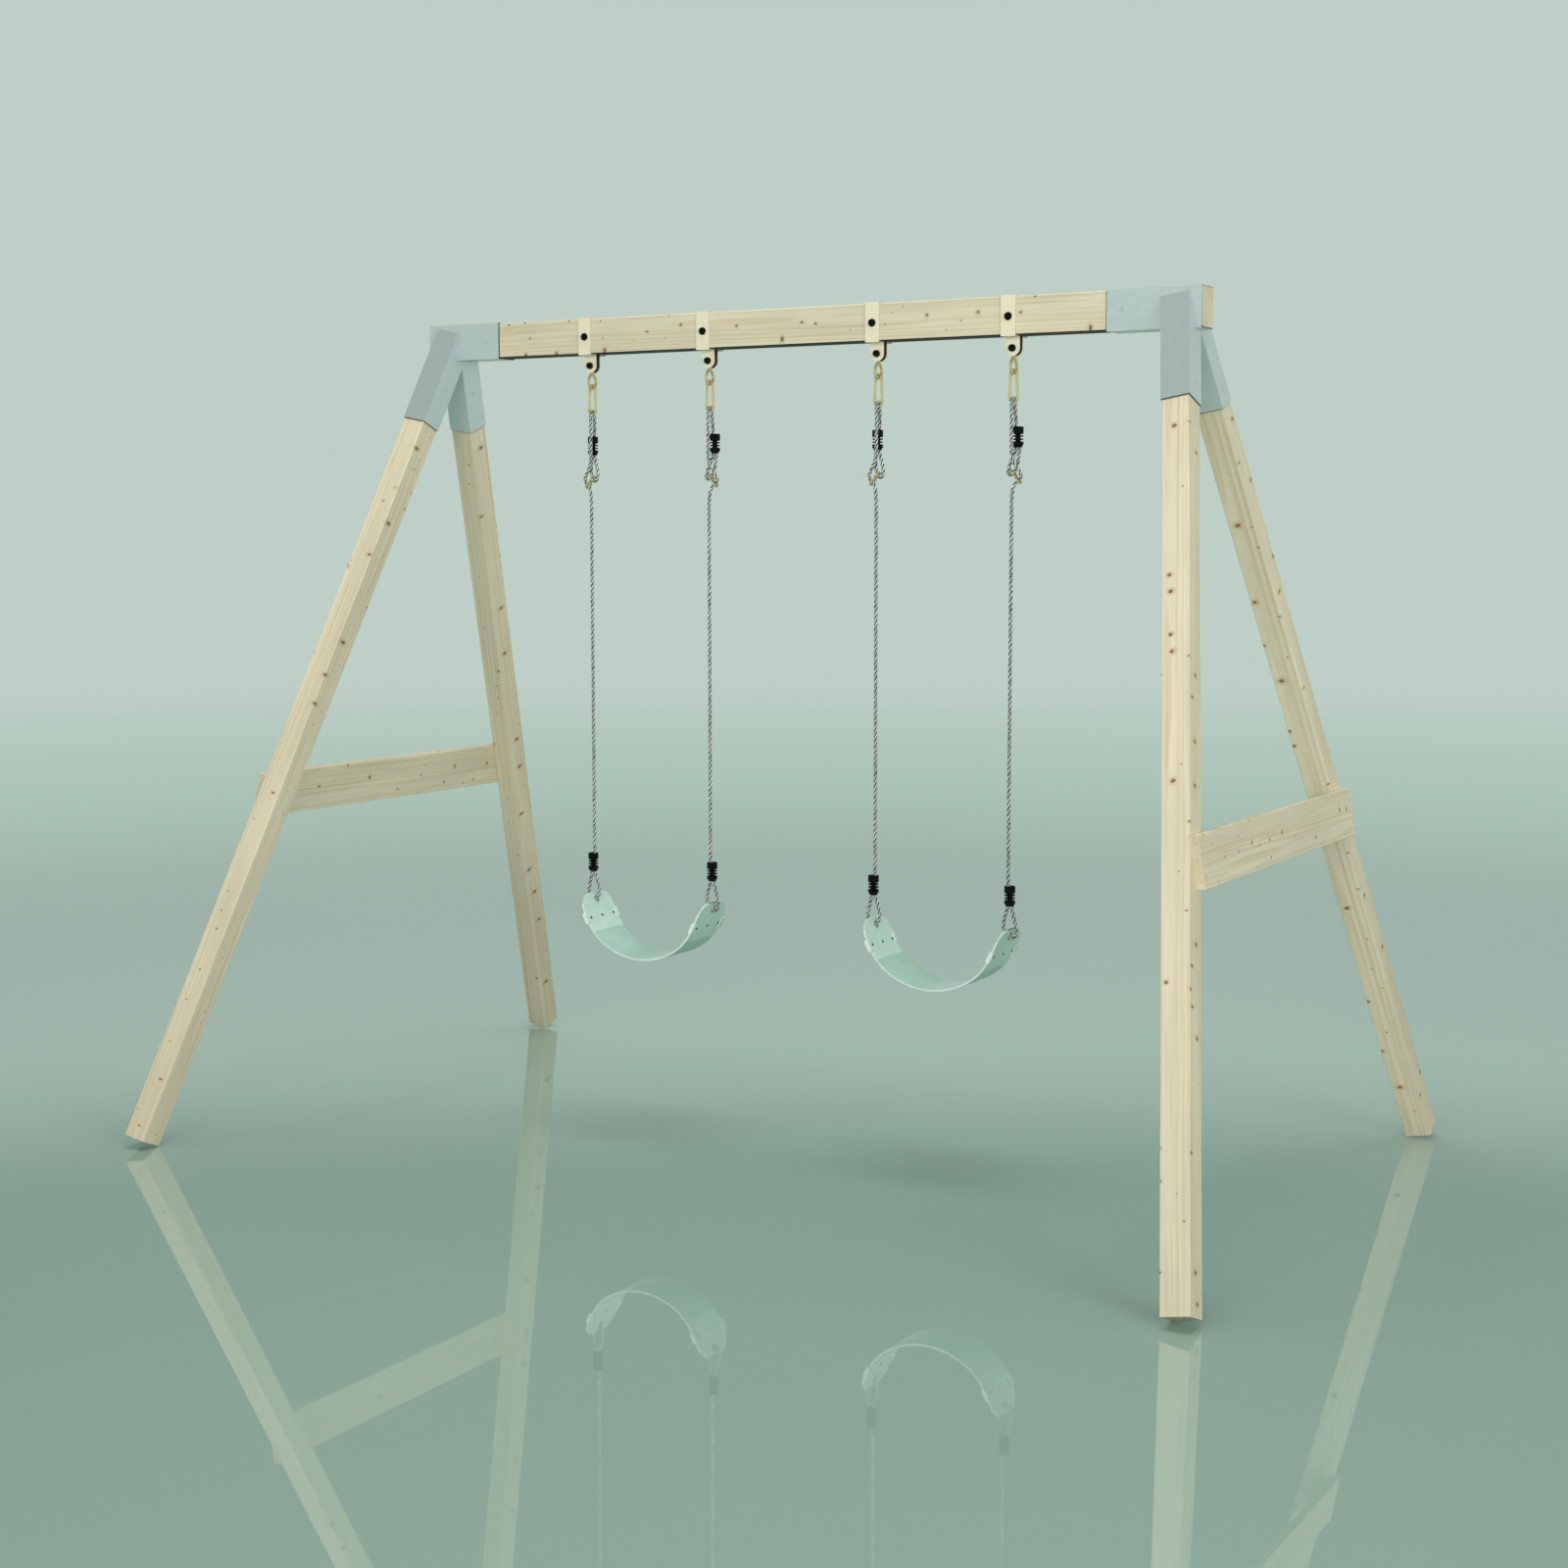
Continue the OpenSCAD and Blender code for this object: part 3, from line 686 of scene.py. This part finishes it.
@dataclass(frozen=True)
class Palette:
    """Every material of the set, by the record's material slot."""

    timber: bpy.types.Material
    galvanised: bpy.types.Material
    zinc: bpy.types.Material
    strap: bpy.types.Material
    bolt_steel: bpy.types.Material
    black_plastic: bpy.types.Material
    rope: bpy.types.Material
    belt: bpy.types.Material
    rivet: bpy.types.Material

    @classmethod
    def mix(cls) -> "Palette":
        """Builds the whole palette.

        Returns:
            The palette.
        """
        finishes = {
            "timber": Timber("Planed_spruce"),
            "galvanised": Metal("Galvanised_sheet", (0.74, 0.79, 0.80), 0.36, 0.6, 90.0, 0.06),
            "zinc": Metal("Yellow_zinc", (0.84, 0.66, 0.32), 0.30, 0.6, 70.0, 0.06),
            "strap": Metal("Yellow_zinc_strap", (0.98, 0.86, 0.65), 0.40, 0.15, 70.0, 0.04),
            "bolt_steel": Metal("Bright_steel", (0.62, 0.62, 0.60), 0.35),
            "black_plastic": Plastic("Black_plastic", (0.002, 0.002, 0.002), 0.5),
            "rope": LaidRope("Laid_rope"),
            "belt": Belt("Mint_belt"),
            "rivet": Metal("Dark_rivet", (0.05, 0.075, 0.07), 0.4, 0.6),
        }
        return cls(**{slot: finish.build() for slot, finish in finishes.items()})

    def by_slot(self, slot: str) -> bpy.types.Material:
        """The material of a slot of the record.

        Args:
            slot: The slot's name.

        Returns:
            Its material.
        """
        return getattr(self, slot)


# ---------------------------------------------------------------- geometry


def turn_x(angle: float) -> np.ndarray:
    """A turn about X by the right-hand rule.

    Args:
        angle: Radians.

    Returns:
        A 3 by 3 matrix.
    """
    c, s = math.cos(angle), math.sin(angle)
    return np.array([[1, 0, 0], [0, c, -s], [0, s, c]])


def turn_y(angle: float) -> np.ndarray:
    """A turn about Y by the right-hand rule.

    Args:
        angle: Radians.

    Returns:
        A 3 by 3 matrix.
    """
    c, s = math.cos(angle), math.sin(angle)
    return np.array([[c, 0, s], [0, 1, 0], [-s, 0, c]])


def unit(vectors: np.ndarray) -> np.ndarray:
    """Vectors of length one.

    Args:
        vectors: Rows of three.

    Returns:
        The same rows, each divided by its length.
    """
    return vectors / np.maximum(np.linalg.norm(vectors, axis=-1, keepdims=True), 1e-12)


def read_rows(items: bpy.types.bpy_prop_collection, name: str) -> np.ndarray:
    """A property of every vertex or face of a mesh.

    Args:
        items: The mesh's vertices or polygons.
        name: A property of three numbers.

    Returns:
        Rows of three.
    """
    flat = np.empty(len(items) * 3, np.float32)
    items.foreach_get(name, flat)
    return flat.reshape(-1, 3).astype(float)


def corners_of(mesh: bpy.types.Mesh) -> np.ndarray:
    """A mesh's vertices, in rows of three."""
    return read_rows(mesh.vertices, "co")


def face_normals(mesh: bpy.types.Mesh) -> np.ndarray:
    """A mesh's face normals, in rows of three."""
    return read_rows(mesh.polygons, "normal")


def face_middles(mesh: bpy.types.Mesh) -> np.ndarray:
    """A mesh's face centres, in rows of three."""
    return read_rows(mesh.polygons, "center")


def store(mesh: bpy.types.Mesh, name: str, values: np.ndarray, domain: Domain = Domain.POINT) -> None:
    """Stores an attribute on a mesh.

    Args:
        mesh: The mesh.
        name: The attribute's name.
        values: One number or one row of three for each point or face.
        domain: Points or faces.
    """
    wide = values.ndim == 2
    layer = mesh.attributes.new(name, "FLOAT_VECTOR" if wide else "FLOAT", domain.value)
    layer.data.foreach_set("vector" if wide else "value", np.ascontiguousarray(values, np.float32).ravel())


def mesh_object(name: str, points: np.ndarray, faces: Sequence[np.ndarray]) -> bpy.types.Object:
    """An object at the origin from arrays of faces with the same number of corners each.

    Args:
        name: The object's name.
        points: Rows of three.
        faces: Arrays of vertex numbers, one row a face.

    Returns:
        The object, with smooth faces, in the scene.
    """
    mesh = bpy.data.meshes.new(name)
    loops = np.concatenate([f.ravel() for f in faces]).astype(np.int32)
    totals = np.concatenate([np.full(len(f), f.shape[1]) for f in faces]).astype(np.int32)
    starts = np.concatenate([[0], np.cumsum(totals)[:-1]]).astype(np.int32)
    mesh.vertices.add(len(points))
    mesh.vertices.foreach_set("co", np.ascontiguousarray(points, np.float32).ravel())
    mesh.loops.add(len(loops))
    mesh.loops.foreach_set("vertex_index", loops)
    mesh.polygons.add(len(totals))
    mesh.polygons.foreach_set("loop_start", starts)
    mesh.polygons.foreach_set("loop_total", totals)
    mesh.polygons.foreach_set("use_smooth", np.ones(len(totals), bool))
    mesh.update(calc_edges=True)
    mesh.validate()
    thing = bpy.data.objects.new(name, mesh)
    bpy.context.scene.collection.objects.link(thing)
    return thing


@dataclass(frozen=True)
class Line:
    """A smooth line in space with a frame at each of its evenly spaced points."""

    points: np.ndarray
    tangents: np.ndarray
    normals: np.ndarray
    distance: np.ndarray

    @property
    def binormals(self) -> np.ndarray:
        """The third direction of each frame."""
        return np.cross(self.tangents, self.normals)

    @classmethod
    def through(cls, corners: np.ndarray, spacing: float, bend: float) -> "Line":
        """Rounds a polyline's corners and gives it frames that don't turn about it.

        Each corner becomes a parabola that leaves the straight runs at most bend away from it, and at most at the
        middle of each run.

        Args:
            corners: Rows of three.
            spacing: Distance between points of the result.
            bend: How far from a corner the parabola starts.

        Returns:
            The line.
        """
        runs = np.diff(corners, axis=0)
        lengths = np.linalg.norm(runs, axis=1)
        ways = runs / lengths[:, None]
        cut = np.minimum(lengths * 0.5, bend)
        before = corners[1:-1] - ways[:-1] * cut[:-1, None]
        after = corners[1:-1] + ways[1:] * cut[1:, None]
        t = np.linspace(0, 1, 13)[None, :, None]
        curve = before[:, None] * (1 - t) ** 2 + corners[1:-1, None] * 2 * t * (1 - t) + after[:, None] * t**2
        dense = np.vstack([corners[:1], curve.reshape(-1, 3), corners[-1:]])
        dense = dense[np.r_[True, np.linalg.norm(np.diff(dense, axis=0), axis=1) > 1e-7]]
        gone = np.r_[0, np.cumsum(np.linalg.norm(np.diff(dense, axis=0), axis=1))]
        distance = np.linspace(0, gone[-1], max(3, round(gone[-1] / spacing) + 1))
        points = np.stack([np.interp(distance, gone, dense[:, k]) for k in range(3)], 1)
        tangents = unit(np.gradient(points, axis=0))
        normals = np.empty_like(points)
        last = np.array([1.0, 0.3, 0.1])
        for i, tangent in enumerate(tangents):
            last = last - tangent * (last @ tangent)
            last = last / math.sqrt(last @ last)
            normals[i] = last
        return cls(points, tangents, normals, distance)


@dataclass(frozen=True)
class StrandShape:
    """How a rope is laid: strands that wind about its middle line."""

    diameter: float = ROPE_DIAMETER
    strands: int = 3
    pitch: float = 0.045
    sides: int = 9

    @property
    def strand_radius(self) -> float:
        """Radius of a strand, a little more than that of equal circles that touch inside the rope."""
        return 0.5 * self.diameter * 0.56

    def build(self, name: str, line: Line) -> bpy.types.Object:
        """Makes a laid rope as one mesh.

        The middle of strand k at distance s is the line's point plus a circle of the offset radius at the angle
        2 pi (s / pitch + k / strands). Its section is a circle about that, square to the strand's own direction.
        The yarns turn the other way round in each strand.

        Args:
            name: The object's name.
            line: The rope's middle line.

        Returns:
            The rope.
        """
        offset = self.diameter / 2 - self.strand_radius
        rows, cols = len(line.points), self.sides
        around = np.arange(cols) * 2 * math.pi / cols
        points, faces, lay, groove = [], [], [], []
        row = np.arange(rows - 1)[:, None] * cols
        col = np.arange(cols)[None, :]
        nxt = (col + 1) % cols
        quads = np.stack([row + col, row + nxt, row + cols + nxt, row + cols + col], -1).reshape(-1, 4)
        for k in range(self.strands):
            angle = 2 * math.pi * (line.distance / self.pitch + k / self.strands)
            outward = np.cos(angle)[:, None] * line.normals + np.sin(angle)[:, None] * line.binormals
            middle = line.points + offset * outward
            along = unit(np.gradient(middle, axis=0))
            first = unit(outward - along * np.sum(outward * along, 1, keepdims=True))
            second = np.cross(along, first)
            ring = middle[:, None] + self.strand_radius * (
                np.cos(around)[None, :, None] * first[:, None] + np.sin(around)[None, :, None] * second[:, None]
            )
            base = k * rows * cols
            points.append(ring.reshape(-1, 3))
            last = base + (rows - 1) * cols
            faces += [quads + base, base + col[:, ::-1], last + col]
            turn = around[None, :] - line.distance[:, None] * 2 * math.pi / (self.pitch * 0.8)
            far = np.broadcast_to((line.distance + 0.37 * k)[:, None], turn.shape)
            lay.append(np.stack([np.cos(turn), np.sin(turn), far], -1).reshape(-1, 3))
            groove.append(np.broadcast_to(0.5 + 0.5 * np.cos(around)[None, :], turn.shape).ravel())
        faces = sorted(faces, key=lambda f: f.shape[1])
        rope = mesh_object(name, np.concatenate(points), faces)
        store(rope.data, "lay", np.concatenate(lay))
        store(rope.data, "groove", np.concatenate(groove))
        return rope


# ---------------------------------------------------------------- sub-assemblies


@dataclass
class SubAssembly:
    """A group of pieces that are finished together."""

    name: str
    palette: Palette
    pieces: list[bpy.types.Object] = field(default_factory=list)

    def build(self) -> None:
        """Makes and finishes the pieces."""
        raise NotImplementedError

    def keep(self, node: str, material: bpy.types.Material) -> bpy.types.Object:
        """Finishes a CAD node and keeps it.

        Args:
            node: The node's name.
            material: Its material.

        Returns:
            The node's object.
        """
        thing = frame["nodes"][node]
        thing.data.materials.clear()
        thing.data.materials.append(material)
        self.pieces.append(thing)
        return thing

    def report(self) -> None:
        """Logs what was made."""
        faces = sum(len(p.data.polygons) for p in self.pieces)
        LOG.info("%s: %d pieces, %d faces", self.name, len(self.pieces), faces)


@dataclass(frozen=True)
class Stick:
    """Where a timber lies, so that its grain can follow it."""

    node: str
    origin: tuple[float, float, float]
    turn: np.ndarray
    along: int
    pith: tuple[float, float]
    shift: float
    bracket: str = ""
    past_sleeve: int = 0

    def mark(self, mesh: bpy.types.Mesh) -> None:
        """Stores the grain's place, the end faces, the line under a sleeve's end and the beam's painted shade.

        The place along the timber and the two distances from its pith are the vertex in the timber's own axes, which
        is the turn's inverse of the vertex less the origin.

        Args:
            mesh: The timber's mesh.
        """
        local = (corners_of(mesh) - np.array(self.origin)) @ self.turn
        across, deep = [k for k in range(3) if k != self.along]
        grain = np.stack(
            [local[:, self.along] + self.shift, local[:, across] + self.pith[0], local[:, deep] + self.pith[1]], 1
        )
        store(mesh, "grain", grain)
        line = np.stack([local[:, self.along], np.full(len(local), self.sleeve_line()), local[:, across]], 1)
        store(mesh, "sleeve", line)
        normals = face_normals(mesh)
        facing = np.abs(normals @ self.turn[:, self.along])
        store(mesh, "end_face", (facing > 0.7).astype(float), Domain.FACE)
        # painted shade: the beam's downward faces are darkened nearly to black
        under = (normals[:, 2] < -0.3) & (self.node == "beam")
        store(mesh, "shade", np.where(under, UNDER_BEAM_SHADE, 0.0), Domain.FACE)

    def sleeve_line(self) -> float:
        """Finds the shadow beside a sleeve's end.

        Returns:
            How far along the timber it is, or a length past the timber's ends for none.
        """
        if not self.bracket:
            return NO_SLEEVE
        local = (corners_of(frame["nodes"][self.bracket].data) - np.array(self.origin)) @ self.turn
        across, deep = [k for k in range(3) if k != self.along]
        inside = (np.abs(local[:, across]) < SLEEVE_HALF[0]) & (np.abs(local[:, deep]) < SLEEVE_HALF[1])
        reach = np.abs(local[inside, self.along])
        end = reach.max() if self.past_sleeve > 0 else reach.min()
        return float(end + self.past_sleeve * SLEEVE_SHADOW_GAP)


@dataclass
class TimberFrame(SubAssembly):
    """Beam, legs and braces."""

    def sticks(self) -> Iterable[Stick]:
        """Every timber's place.

        Yields:
            One Stick for each timber.
        """
        yield Stick("beam", (0, 0, BEAM_AXIS), np.eye(3), 0, (0.1, -0.02), 0.4, "corner_bracket_right", -1)
        piths = iter([(0.05, -0.06), (0.045, -0.07), (0.02, -0.055), (0.03, -0.08)])
        for side in Side:
            lean = turn_y(-side.value * LEAN)
            for row in Row:
                turn = lean @ turn_x(row.value * LEG_SLOPE)
                origin = np.array([side.value * FRAME_X, 0, BEAM_AXIS]) + lean @ (0, row.value * LEG_OFFSET, 0)
                name = f"leg_{side.name.lower()}_{row.name.lower()}"
                shift = 5.0 + 3.1 * side.value + 7.3 * row.value
                bracket = f"corner_bracket_{side.name.lower()}"
                yield Stick(name, tuple(origin), turn, 2, next(piths), shift, bracket, 1)
            origin = np.array([side.value * FRAME_X, 0, BEAM_AXIS]) + lean @ (side.value * BRACE_OUT, 0, -BRACE_DROP)
            yield Stick(f"brace_{side.name.lower()}", tuple(origin), lean, 1, (0.045, 0.03), 20.0 + side.value)

    def build(self) -> None:
        """Finishes every timber and marks its grain."""
        for stick in self.sticks():
            stick.mark(self.keep(stick.node, self.palette.timber).data)


@dataclass
class Ironmongery(SubAssembly):
    """Every other CAD node, finished by the record's material slot."""

    skip: frozenset[str] = frozenset()

    def build(self) -> None:
        """Finishes every node that no other group does."""
        for part in frame["record"]["subparts"]:
            node = part["node"]
            if node in self.skip:
                continue
            if node.startswith("strap_"):
                self.shade_strap(self.keep(node, self.palette.strap).data, node.startswith("strap_rear"))
                continue
            thing = self.keep(node, self.palette.by_slot(part["material_slot"]))
            if node.startswith("corner_bracket_"):
                self.shade_bracket(thing.data, Side[node.rsplit("_", 1)[1].upper()])

    @staticmethod
    def shade_strap(mesh: bpy.types.Mesh, rear: bool) -> None:
        """Paints shade on a strap's narrow edges, and a deeper painted shade on the inner face of a rear one.

        Args:
            mesh: The strap's mesh.
            rear: Whether it is on the back of the beam.
        """
        normals = face_normals(mesh)
        # painted shade on the narrow edges, and deeper on the rear strap's inner face
        shade = np.where(np.abs(normals[:, 1]) < 0.5, STRAP_EDGE_SHADE, 0.0)
        inner = (normals[:, 1] < -0.5) & rear
        store(mesh, "shade", np.where(inner, REAR_STRAP_SHADE, shade), Domain.FACE)

    @staticmethod
    def shade_bracket(mesh: bpy.types.Mesh, side: Side) -> None:
        """Paints shade on the cut ends of a bracket's sleeves.

        A face is a cut end where its normal lies along the beam or along one of the side's two legs.

        Args:
            mesh: The bracket's mesh.
            side: Which end of the beam it is on.
        """
        lean = turn_y(-side.value * LEAN)
        axes = [np.array([1.0, 0, 0])] + [lean @ turn_x(row.value * LEG_SLOPE) @ (0, 0, 1.0) for row in Row]
        facing = np.abs(face_normals(mesh) @ np.stack(axes, 1)).max(1)
        # painted shade on the cut sleeve ends
        store(mesh, "shade", np.where(facing > PARALLEL, CUT_END_SHADE, 0.0), Domain.FACE)


@dataclass
class SeatBelts(SubAssembly):
    """The two belts, with their narrow edges marked."""

    def build(self) -> None:
        """Finishes both belts and marks their edges and lugs for painted highlight and their hole walls for painted
        shade.
        """
        for side in Side:
            belt = self.keep(f"seat_{side.name.lower()}", self.palette.belt)
            normals, middles = face_normals(belt.data), face_middles(belt.data)
            # the narrow edges (1) and the lugs (2) get the painted highlight
            edge = np.where(np.abs(normals[:, 1]) > 0.9, 1.0, 0.0)
            lug = np.abs(middles[:, 1]) > np.abs(middles[:, 1]).max() - 0.001
            store(belt.data, "rim", np.where(lug, 2.0, edge), Domain.FACE)
            from_middle = middles[:, 0] - SWING_SHIFT - side.value * SWING_HALF_PITCH
            off_axis = np.hypot(np.abs(from_middle) - HOLE_HALF_PITCH, middles[:, 1])
            outward = np.sign(from_middle)
            facing = np.abs(normals[:, 0] * outward * math.sin(HOLE_SLOPE) - normals[:, 2] * math.cos(HOLE_SLOPE))
            # painted shade on the faces of the hole walls
            wall = (off_axis < HOLE_WALL_REACH) & (facing < 0.4)
            store(belt.data, "shade", np.where(wall, HOLE_WALL_SHADE, 0.0), Domain.FACE)


@dataclass
class Ropes(SubAssembly):
    """Four laid ropes along the CAD part's own routes."""

    shape: StrandShape = field(default_factory=StrandShape)

    def build(self) -> None:
        """Makes the four ropes in place of the CAD ones."""
        spacing = ROPE_SPACING
        for i, (x, outward) in enumerate(zip(HANGER_X, OUTWARD), 1):
            corners = np.array(ROPE_ROUTE_MM) * (outward, 1, 1) / 1000 + (x, 0, BOW_Z)
            line = Line.through(corners, spacing, ROPE_BEND)
            rope = self.shape.build(f"rope_{i}_strands", line)
            rope.data.materials.append(self.palette.rope)
            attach(rope, f"rope_{i}_set")
            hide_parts(f"rope_{i}")
            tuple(line.points[0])
            self.pieces.append(rope)


# ---------------------------------------------------------------- studio


@dataclass(frozen=True)
class SoftBox:
    """A rectangular studio lamp that points at a place."""

    name: str
    place: tuple[float, float, float]
    target: tuple[float, float, float]
    size: tuple[float, float]
    watts: float
    colour: Colour = (1.0, 1.0, 1.0)

    def build(self) -> None:
        """Adds the lamp to the scene."""
        data = bpy.data.lights.new(self.name, "AREA")
        data.shape = "RECTANGLE"
        data.size, data.size_y = self.size
        data.energy = self.watts
        data.color = self.colour
        lamp = bpy.data.objects.new(self.name, data)
        way = np.array(self.target) - np.array(self.place)
        flat = math.hypot(way[0], way[1])
        lamp.location = self.place
        lamp.rotation_euler = (math.atan2(flat, -way[2]), 0, math.atan2(way[1], way[0]) - math.pi / 2)
        lamp.visible_glossy = False
        bpy.context.scene.collection.objects.link(lamp)


@dataclass(frozen=True)
class Studio:
    """Camera, floor, sky and lamps."""

    camera_place: tuple[float, float, float] = (3.2497, -5.6515, 1.6831)
    yaw: float = math.radians(29.979)
    pitch: float = math.radians(5.988)
    lens: float = 54.93
    sky: Colour = (0.515, 0.622, 0.570)
    zenith: Colour = (0.13, 0.19, 0.16)
    floor: StudioFloor = StudioFloor(
        "Studio_floor", (0.33, 0.455, 0.395), (0.395, 0.535, 0.455), (0.515, 0.622, 0.570)
    )
    boxes: tuple[SoftBox, ...] = (
        SoftBox("Key_softbox", (1.5, -9.5, 3.6), (0, 0, 1.3), (6, 4), 345, (1.0, 0.99, 0.97)),
        SoftBox("Fill_softbox", (10.0, -5.0, 3.6), (0, 0, 1.3), (5, 4), 450, (0.98, 1.0, 1.0)),
        SoftBox("Top_softbox", (0.0, 0.5, 7.5), (0, 0, 0), (6, 5), 340),
    )

    def build(self) -> None:
        """Sets up the camera, floor, sky and lamps."""
        data = bpy.data.cameras.new("Camera")
        data.lens, data.sensor_width, data.clip_end = self.lens, 36.0, 400.0
        camera = bpy.data.objects.new("Camera", data)
        camera.location = self.camera_place
        camera.rotation_euler = (math.pi / 2 - self.pitch, 0, self.yaw)
        bpy.context.scene.collection.objects.link(camera)
        bpy.context.scene.camera = camera
        signs = np.array([(-1, -1, 0), (1, -1, 0), (1, 1, 0), (-1, 1, 0)])
        points = signs * FLOOR_REACH
        floor = mesh_object("Studio_floor", points, [np.arange(4)[None]])
        floor.data.materials.append(self.floor.build())
        sky = Graph.of_world("Studio_sky")
        height = sky.make("ShaderNodeTexCoord", output="Object").parts()[2]
        sky.feed(sky.shader.inputs["Color"], sky.mix(height.step(0.205, 0.27), self.sky, self.zenith))
        bpy.context.scene.world = sky.owner
        bpy.context.scene.view_settings.view_transform = "Standard"
        for box in self.boxes:
            box.build()


def main() -> None:
    """Builds the scene."""
    logging.basicConfig(level=logging.INFO, format="%(message)s")
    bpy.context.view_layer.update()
    palette = Palette.mix()
    Studio().build()
    own = {"beam"} | {f"rope_{i}" for i in range(1, len(HANGER_X) + 1)}
    own |= {f"{kind}_{side.name.lower()}" for side in Side for kind in ("brace", "seat")}
    own |= {f"leg_{side.name.lower()}_{row.name.lower()}" for side in Side for row in Row}
    groups: list[SubAssembly] = [
        Ironmongery("ironmongery", palette, skip=frozenset(own)),
        TimberFrame("timber frame", palette),
        SeatBelts("seat belts", palette),
        Ropes("ropes", palette),
    ]
    for group in groups:
        group.build()
        group.report()


if __name__ == "__main__":
    main()
